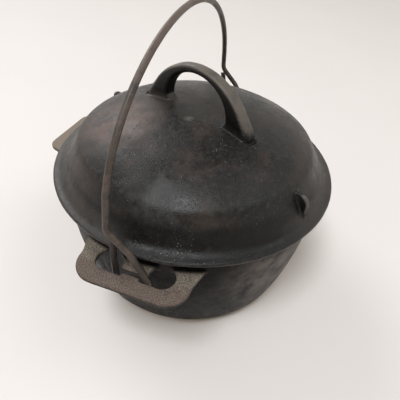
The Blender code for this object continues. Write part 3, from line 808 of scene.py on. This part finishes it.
def bail_end(end, side, towards):
    """Points of one end of the wire, from its tip to the point where the arch begins."""
    stub_tip = Vector((side * (HOOK_X + end["stub_splay"]), *end["stub_tip"]))
    stub_lean = Vector((side * HOOK_X, end["stub"], STUB_LEAN_HEIGHT))
    hook_in = Vector((side * HOOK_X, end["stub"], -HOOK_DEPTH))
    hook_out = Vector((side * HOOK_X, end["foot"], -HOOK_DEPTH))
    foot = Vector((side * HOOK_X, end["foot"], 0.0))
    knee_out = KNEE_X + end["knee_bow"]
    knee = Vector((side * knee_out, *end["knee"]))
    leg_y, leg_z = end["leg"]
    leg_x = HOOK_X + (knee_out - HOOK_X) * leg_z / knee.z
    leg = Vector((side * leg_x, leg_y, leg_z))
    path = (stub_tip, stub_lean, hook_in, hook_out, foot, leg, knee, towards)
    points = [stub_tip]
    for before, corner, after, (radius, steps) in zip(path, path[1:], path[2:], BAIL_BENDS):
        points += bend(before, corner, after, radius, steps)
    return points


def build_bail():
    base_y, base_z = ARCH_BASE
    arch = []
    for step in range(ARCH_SKIP, ARCH_STEPS - ARCH_SKIP + 1):
        angle = math.pi * step / ARCH_STEPS
        rise = ARCH_RISE * math.sin(angle)
        arch.append(Vector((
            KNEE_X * math.cos(angle), base_y + rise * math.tan(ARCH_LEAN), base_z + rise)))
    first = bail_end(FIRST_END, 1, arch[0])
    second = bail_end(SECOND_END, -1, arch[-1])
    points = first + arch + second[::-1]
    curve = bpy.data.curves.new("bail_wire", "CURVE")
    curve.dimensions = "3D"
    curve.bevel_depth = WIRE_RADIUS
    curve.bevel_resolution = WIRE_BEVEL_STEPS
    curve.use_fill_caps = True
    spline = curve.splines.new("POLY")
    spline.points.add(len(points) - 1)
    for point, place in zip(spline.points, points):
        point.co = (*place, 1.0)
    drawn = add_object("drawn", curve)
    drawn.location = (0.0, 0.0, HINGE_Z)
    wire = add_object("bail_wire", evaluated_mesh(drawn))
    drop(drawn)
    wire.data.shade_smooth()
    return wire


class Nodes:
    """Short calls for building the nodes of a material or a world."""

    def __init__(self, owner, coordinates):
        owner.use_nodes = True
        self.tree = owner.node_tree
        self.place = self.add("ShaderNodeTexCoord").outputs[coordinates]

    def add(self, kind, **settings):
        node = self.tree.nodes.new(kind)
        for key, value in settings.items():
            setattr(node, key, value)
        return node

    def link(self, source, target):
        self.tree.links.new(source, target)

    def noise(self, size, detail, roughness, offset):
        """Noise whose features are about size metres across."""
        node = self.add("ShaderNodeTexNoise")
        node.inputs["Scale"].default_value = 1.0 / size
        node.inputs["Detail"].default_value = detail
        node.inputs["Roughness"].default_value = roughness
        moved = self.add("ShaderNodeMapping")
        moved.inputs["Location"].default_value = [offset * share for share in OFFSET_SHARES]
        self.link(self.place, moved.inputs["Vector"])
        self.link(moved.outputs["Vector"], node.inputs["Vector"])
        return node.outputs["Fac"]

    def band(self, value, low, high, to_low=0.0, to_high=1.0):
        """value from low to high becomes to_low to to_high, smoothly and within those limits."""
        node = self.add("ShaderNodeMapRange", interpolation_type="SMOOTHSTEP")
        node.inputs["From Min"].default_value = low
        node.inputs["From Max"].default_value = high
        node.inputs["To Min"].default_value = to_low
        node.inputs["To Max"].default_value = to_high
        self.link(value, node.inputs["Value"])
        return node.outputs["Result"]

    def fading(self, value, low, high):
        """1 up to low, falling to 0 at high."""
        return self.band(value, low, high, 1.0, 0.0)

    def pattern(self, noise, band):
        """One of the patterns at the top of this file."""
        return self.band(self.noise(*noise), *band)

    def split(self, vector):
        """The X, Y and Z of a vector."""
        node = self.add("ShaderNodeSeparateXYZ")
        self.link(vector, node.inputs[0])
        return node.outputs

    def math(self, operation, first, second):
        node = self.add("ShaderNodeMath", operation=operation)
        for socket, value in zip(node.inputs, (first, second)):
            if isinstance(value, (int, float)):
                socket.default_value = value
            else:
                self.link(value, socket)
        return node.outputs[0]

    def times(self, *values):
        product = values[0]
        for value in values[1:]:
            product = self.math("MULTIPLY", product, value)
        return product

    def mix(self, share, first, second):
        """Blend of two colours, each a colour or a node's output."""
        node = self.add("ShaderNodeMix", data_type="RGBA")
        node_values = (
            (node.inputs["Factor"], share), (node.inputs["A"], first), (node.inputs["B"], second))
        for socket, value in node_values:
            if isinstance(value, tuple):
                socket.default_value = (*value, 1.0)
            elif isinstance(value, float):
                socket.default_value = value
            else:
                self.link(value, socket)
        return node.outputs["Result"]


class MaterialNodes(Nodes):
    """Nodes of one new material, with short calls for places on the surface."""

    def __init__(self, name):
        self.material = bpy.data.materials.new(name)
        super().__init__(self.material, "Object")
        self.shader = self.tree.nodes["Principled BSDF"]
        self.geometry = self.add("ShaderNodeNewGeometry")

    def feed(self, socket, source):
        """Link a node's output to one of the shader's sockets."""
        self.link(source, self.shader.inputs[socket])

    def feeder(self, socket):
        """The output that one of the shader's sockets is linked to so far."""
        return self.shader.inputs[socket].links[0].from_socket

    def near(self, centre, inner, outer):
        """1 within inner metres of a point, falling to 0 at outer metres."""
        away = self.add("ShaderNodeVectorMath", operation="DISTANCE")
        away.inputs[1].default_value = centre
        self.link(self.place, away.inputs[0])
        return self.fading(away.outputs["Value"], inner, outer)

    def radius(self, split):
        """Distance from the upright axis, from split coordinates."""
        flat = self.add("ShaderNodeCombineXYZ")
        self.link(split["X"], flat.inputs["X"])
        self.link(split["Y"], flat.inputs["Y"])
        length = self.add("ShaderNodeVectorMath", operation="LENGTH")
        self.link(flat.outputs[0], length.inputs[0])
        return length.outputs["Value"]

    def facing_up(self):
        """How far the surface faces up: 1 on top, 0 on an upright wall and -1 below."""
        return self.split(self.geometry.outputs["Normal"])["Z"]

    def edges(self, low, high):
        """1 on convex edges, by Blender's pointiness, which is 0.5 on a flat surface."""
        return self.band(self.geometry.outputs["Pointiness"], low, high)

    def crevices(self, low, high):
        """1 in concave corners, by the same measure."""
        return self.fading(self.geometry.outputs["Pointiness"], low, high)

    def bump(self, height, distance, strength, below=None):
        """Normal from a height in metres, on top of the normal below it."""
        node = self.add("ShaderNodeBump")
        node.inputs["Distance"].default_value = distance
        node.inputs["Strength"].default_value = strength
        self.link(height, node.inputs["Height"])
        if below is not None:
            self.link(below, node.inputs["Normal"])
        return node.outputs["Normal"]


def flange_dust_shade_and_highlight(nodes, colour):
    """Dust on the lid's flange, painted shade on its front, a painted highlight along its edge, and
    where its shower of specks falls.
    """
    split = nodes.split(nodes.place)
    low = nodes.fading(split["Z"], *FLANGE_TOP_Z)
    dusty = nodes.times(
        nodes.band(nodes.radius(split), *DUST_RADII), nodes.fading(split["Z"], *DUST_Z),
        nodes.pattern(*DUST))
    colour = nodes.mix(dusty, colour, DUST_COLOUR)
    # Painted shade on the flange's front
    front_shade = nodes.times(low, nodes.near(*FRONT_SHADE_PLACE), nodes.pattern(*FRONT_SHADE_PATTERN))
    colour = nodes.mix(front_shade, colour, FRONT_SHADE_COLOUR)
    # Painted highlight along the flange's edge
    edge = nodes.times(
        nodes.band(nodes.radius(split), *FLANGE_EDGE_RADII), nodes.pattern(*FLANGE_EDGE_HIGHLIGHT_BREAKS))
    colour = nodes.mix(edge, colour, FLANGE_EDGE_HIGHLIGHT_COLOUR)
    shower = nodes.times(low, nodes.near(*SPECK_SHOWER), SPECK_SHOWER_SHARE)
    return colour, shower


def seasoned_iron(name, specular, dark, marks, has_flange=False):
    """Old seasoned casting: black oil film with grey and rusty patches, worn edges and specks,
    painted shade in its concave corners, and given marks, some of which hold painted highlights,
    reflections and shade.

    The share dark of the whole colour is turned black.
    """
    nodes = MaterialNodes(name)
    colour = nodes.mix(nodes.pattern(*PATCHES), *PATCH_COLOURS)
    colour = nodes.mix(nodes.times(nodes.pattern(*REDDISH), REDDISH_SHARE), colour, REDDISH_COLOUR)
    colour = nodes.mix(nodes.times(nodes.pattern(*COOL), COOL_SHARE), colour, COOL_COLOUR)
    mottle = nodes.noise(*MOTTLE_NOISE)
    colour = nodes.mix(nodes.band(mottle, *MOTTLE_PALE_BAND), colour, MOTTLE_PALE_COLOUR)
    colour = nodes.mix(nodes.band(mottle, *MOTTLE_DARK_BAND), colour, MOTTLE_DARK_COLOUR)
    grain = nodes.noise(*GRAIN_NOISE)
    worn_grain = nodes.times(nodes.band(grain, *GRAIN_BAND), GRAIN_SHARE)
    colour = nodes.mix(worn_grain, colour, GRAIN_COLOUR)
    scuffs = nodes.times(nodes.edges(*SCUFF_EDGES), nodes.pattern(*SCUFFS), SCUFF_SHARE)
    colour = nodes.mix(scuffs, colour, SCUFF_COLOUR)
    # Painted shade in concave corners
    crevices = nodes.times(nodes.crevices(*CREVICES), CREVICE_SHADE_SHARE)
    colour = nodes.mix(crevices, colour, CREVICE_SHADE_COLOUR)
    speck_limit = nodes.pattern(*SPECK_LIMIT)
    rough = nodes.math("ADD", nodes.pattern(*SHEEN), nodes.band(mottle, *SHEEN_MOTTLE_BAND))
    for centre, inner, outer, tint, strength in marks:
        shift = centre[0] * MARK_SHIFT
        noise = (outer / MARK_NOISES, MARK_DETAIL, MARK_ROUGHNESS, shift)
        blotch = nodes.pattern(noise, MARK_BAND)
        share = nodes.times(nodes.near(centre, inner, outer), blotch, strength)
        colour = nodes.mix(share, colour, tint)
        rough = nodes.math("ADD", rough, nodes.times(share, MARK_DULLING))
    if has_flange:
        colour, shower = flange_dust_shade_and_highlight(nodes, colour)
        speck_limit = nodes.math("SUBTRACT", speck_limit, shower)
    above = nodes.math("SUBTRACT", nodes.noise(*SPECK_NOISE), speck_limit)
    colour = nodes.mix(nodes.band(above, 0.0, SPECK_SOFTNESS), colour, SPECK_COLOUR)
    colour = nodes.mix(dark, colour, BLACK)
    nodes.shader.inputs["Specular IOR Level"].default_value = specular
    nodes.feed("Base Color", colour)
    nodes.feed("Roughness", rough)
    coarse = nodes.bump(nodes.noise(*COARSE_NOISE), *COARSE_BUMP)
    pits = nodes.bump(nodes.pattern(*PITS), *PIT_BUMP, coarse)
    fine = nodes.bump(grain, *GRAIN_BUMP, pits)
    nodes.link(nodes.pattern(*GRAIN_BUMP_STRENGTH), fine.node.inputs["Strength"])
    nodes.feed("Normal", fine)
    return nodes


def lid_material():
    """Seasoned iron with rusty breath on the crown, a pale gate scar, a worn handle top made paler
    also as painted light, and painted shade on the handle's flanks, the fins and the toe pockets,
    with a painted highlight on the fins' rims.
    """
    nodes = seasoned_iron(
        "seasoned_lid_iron", LID_SPECULAR, LID_DARKENING, LID_MARKS, has_flange=True)
    split = nodes.split(nodes.place)
    facing_up = nodes.facing_up()
    # Painted shade on the handle's flanks
    flank_shade = nodes.times(
        nodes.band(split["Z"], *HANDLE_FLANK_Z), nodes.fading(facing_up, *HANDLE_FLANK_FACING))
    colour = nodes.mix(flank_shade, nodes.feeder("Base Color"), HANDLE_FLANK_SHADE_COLOUR)
    # Wear on the handle's top, also painted light where it faces up
    handle = nodes.times(
        nodes.band(split["Z"], *HANDLE_TOP_Z), nodes.band(facing_up, *HANDLE_TOP_FACING),
        nodes.pattern(*HANDLE_WEAR))
    colour = nodes.mix(handle, colour, HANDLE_WORN_AND_LIT_COLOUR)
    # Painted shade on the fins
    fin = nodes.times(nodes.band(nodes.radius(split), *FIN_RADII), nodes.band(split["Z"], *FIN_Z))
    colour = nodes.mix(nodes.times(fin, FIN_SHADE_SHARE), colour, FIN_SHADE_COLOUR)
    # Painted highlight on the fins' rims
    fin_rim_highlight = nodes.times(fin, nodes.edges(*FIN_RIM_EDGES))
    colour = nodes.mix(fin_rim_highlight, colour, FIN_RIM_HIGHLIGHT_COLOUR)
    # Painted shade in the toe pockets
    for turn in (HANDLE_TURN, HANDLE_TURN + math.pi):
        reach = HANDLE_TOE_REACH + TOE_POCKET_SHIFT
        height = crown_height(reach) - POCKET_SINK
        centre = (reach * math.cos(turn), reach * math.sin(turn), height)
        pocket = nodes.near(centre, *POCKET_RADII)
        share = nodes.times(pocket, nodes.crevices(*POCKET_CREVICES))
        colour = nodes.mix(share, colour, POCKET_SHADE_COLOUR)
    nodes.feed("Base Color", colour)
    return nodes.material


def kettle_material():
    """Seasoned iron whose ears and lug have lost their oil on top and gone pale with rust."""
    nodes = seasoned_iron(
        "seasoned_kettle_iron", KETTLE_SPECULAR, KETTLE_DARKENING, KETTLE_MARKS)
    split = nodes.split(nodes.place)
    rust = nodes.times(
        nodes.band(nodes.radius(split), *EAR_RADII), nodes.band(split["Z"], *EAR_Z),
        nodes.band(nodes.facing_up(), *EAR_FACING_BAND), nodes.pattern(*EAR_WEAR))
    sand = nodes.noise(*SAND_NOISE)
    sand_share = nodes.band(sand, *SAND_BAND)
    pale = nodes.mix(sand_share, *ROOT_SAND_COLOURS)
    pinkish = nodes.mix(sand_share, *BAR_SAND_COLOURS)
    ragged = nodes.math(
        "ADD", nodes.math("ABSOLUTE", split["X"], 0.0), nodes.pattern(*BAR_RAGGEDNESS))
    pale = nodes.mix(nodes.band(ragged, *BAR_BAND), pale, pinkish)
    pale = nodes.mix(nodes.band(split["Y"], *LUG_BAND), pale, LUG_COLOUR)
    rim = nodes.times(nodes.edges(*EAR_RIM_EDGES), EAR_RIM_SHARE)
    pale = nodes.mix(rim, pale, EAR_RIM_COLOUR)
    nodes.feed("Base Color", nodes.mix(rust, nodes.feeder("Base Color"), pale))
    dull = nodes.math("ADD", nodes.feeder("Roughness"), nodes.times(rust, RUST_DULLING))
    nodes.feed("Roughness", dull)
    gritty = nodes.bump(nodes.times(sand, rust), *SAND_BUMP, nodes.feeder("Normal"))
    nodes.feed("Normal", gritty)
    return nodes.material


def bail_material():
    """Brown-grey drawn wire with thin rust, dry at the top, and black at its short ends, partly oil
    and partly painted shade.
    """
    nodes = MaterialNodes("rusted_wire")
    patches = nodes.pattern(*WIRE_PATCHES)
    colour = nodes.mix(patches, *WIRE_COLOURS)
    rust = nodes.times(nodes.pattern(*WIRE_RUST), WIRE_RUST_SHARE)
    colour = nodes.mix(rust, colour, WIRE_RUST_COLOUR)
    grain = nodes.noise(*WIRE_GRAIN_NOISE)
    colour = nodes.mix(nodes.band(grain, *WIRE_GRAIN_BAND), colour, WIRE_GRAIN_COLOUR)
    split = nodes.split(nodes.place)
    ragged = nodes.math("ADD", split["Z"], nodes.times(patches, WIRE_RAGGEDNESS))
    colour = nodes.mix(nodes.band(ragged, *WIRE_DRY_BAND), colour, WIRE_DRY_COLOUR)
    # Oil and painted shade on the stub ends
    stub = nodes.times(nodes.fading(split["Y"], *STUB_Y), nodes.fading(split["Z"], *STUB_Z))
    colour = nodes.mix(nodes.times(stub, STUB_OIL_AND_SHADE_SHARE), colour, STUB_OIL_AND_SHADE_COLOUR)
    nodes.feed("Base Color", colour)
    nodes.shader.inputs["Metallic"].default_value = WIRE_METALLIC
    nodes.shader.inputs["Specular IOR Level"].default_value = WIRE_SPECULAR
    nodes.feed("Roughness", nodes.band(patches, 0.0, 1.0, *WIRE_ROUGHNESS))
    pits = nodes.bump(nodes.noise(*WIRE_PIT_NOISE), *WIRE_PIT_BUMP)
    nodes.feed("Normal", nodes.bump(grain, *WIRE_GRAIN_BUMP, pits))
    return nodes.material


def finish_piece(piece, material, body, node):
    piece.data.materials.clear()
    piece.data.materials.append(material)
    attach(piece, body)
    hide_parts(node)


def build_floor():
    """Pale table, which gives off a little light of its own to soften its shadows."""
    mesh = bpy.data.meshes.new("floor")
    half = FLOOR_HALF_WIDTH
    mesh.from_pydata(
        [(-half, -half, 0), (half, -half, 0), (half, half, 0), (-half, half, 0)], [],
        [(0, 1, 2, 3)])
    floor = add_object("floor", mesh)
    nodes = MaterialNodes("pale_table")
    darker = tuple(FLOOR_MOTTLE_SHADE * value for value in FLOOR_COLOUR)
    nodes.feed("Base Color", nodes.mix(nodes.pattern(*FLOOR_MOTTLE), FLOOR_COLOUR, darker))
    nodes.shader.inputs["Emission Color"].default_value = (*FLOOR_GLOW, 1.0)
    nodes.shader.inputs["Emission Strength"].default_value = 1.0
    nodes.shader.inputs["Roughness"].default_value = FLOOR_ROUGHNESS
    nodes.shader.inputs["Specular IOR Level"].default_value = FLOOR_SPECULAR
    mesh.materials.append(nodes.material)


def area_light(name, place, size, power):
    data = bpy.data.lights.new(name, "AREA")
    data.shape = "DISK"
    data.size = size
    data.energy = power
    data.color = LAMP_COLOUR
    light = add_object(name, data)
    light.location = place
    direction = LAMP_TARGET - Vector(place)
    light.rotation_euler = direction.to_track_quat("-Z", "Y").to_euler()


def build_light():
    """Pale walls low down at the back, a darker room in front and above, and three soft lights."""
    world = bpy.data.worlds.new("studio")
    bpy.context.scene.world = world
    nodes = Nodes(world, "Generated")
    split = nodes.split(nodes.place)
    walls = nodes.mix(nodes.band(split["X"], *ROOM_BAND), WALL_LIGHT, ROOM_LIGHT)
    room = nodes.mix(nodes.band(split["Z"], *CEILING_BAND), walls, CEILING_LIGHT)
    background = nodes.tree.nodes["Background"]
    background.inputs["Strength"].default_value = 1.0
    nodes.link(room, background.inputs["Color"])
    for lamp in LAMPS:
        area_light(*lamp)


def build_camera():
    azimuth = CAMERA_AZIMUTH
    elevation = CAMERA_ELEVATION
    back = Vector((
        math.cos(azimuth) * math.cos(elevation), math.sin(azimuth) * math.cos(elevation),
        math.sin(elevation)))
    right = Vector((-math.sin(azimuth), math.cos(azimuth), 0.0))
    up = back.cross(right)
    camera_x = right * math.cos(CAMERA_ROLL) + up * math.sin(CAMERA_ROLL)
    camera_y = up * math.cos(CAMERA_ROLL) - right * math.sin(CAMERA_ROLL)
    data = bpy.data.cameras.new("camera")
    data.lens = LENS_MM
    data.sensor_width = SENSOR_MM
    data.clip_start = CLIP_START
    camera = add_object("camera", data)
    turn = Matrix((camera_x, camera_y, back)).transposed().to_4x4()
    camera.matrix_world = Matrix.Translation(CAMERA_PLACE) @ turn
    bpy.context.scene.camera = camera


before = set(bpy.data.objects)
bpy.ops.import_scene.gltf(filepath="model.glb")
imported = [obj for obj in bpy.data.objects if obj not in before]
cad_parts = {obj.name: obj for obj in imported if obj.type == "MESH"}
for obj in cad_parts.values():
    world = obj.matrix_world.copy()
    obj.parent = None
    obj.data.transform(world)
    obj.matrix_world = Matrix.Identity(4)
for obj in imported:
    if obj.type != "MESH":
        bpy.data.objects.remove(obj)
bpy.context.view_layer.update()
build_camera()
build_light()
build_floor()
finish_piece(build_kettle(), kettle_material(), "kettle", "kettle")
finish_piece(build_lid(), lid_material(), "lid", "lid")
finish_piece(build_bail(), bail_material(), "bail", "bail")
bpy.context.scene.view_settings.view_transform = "Standard"
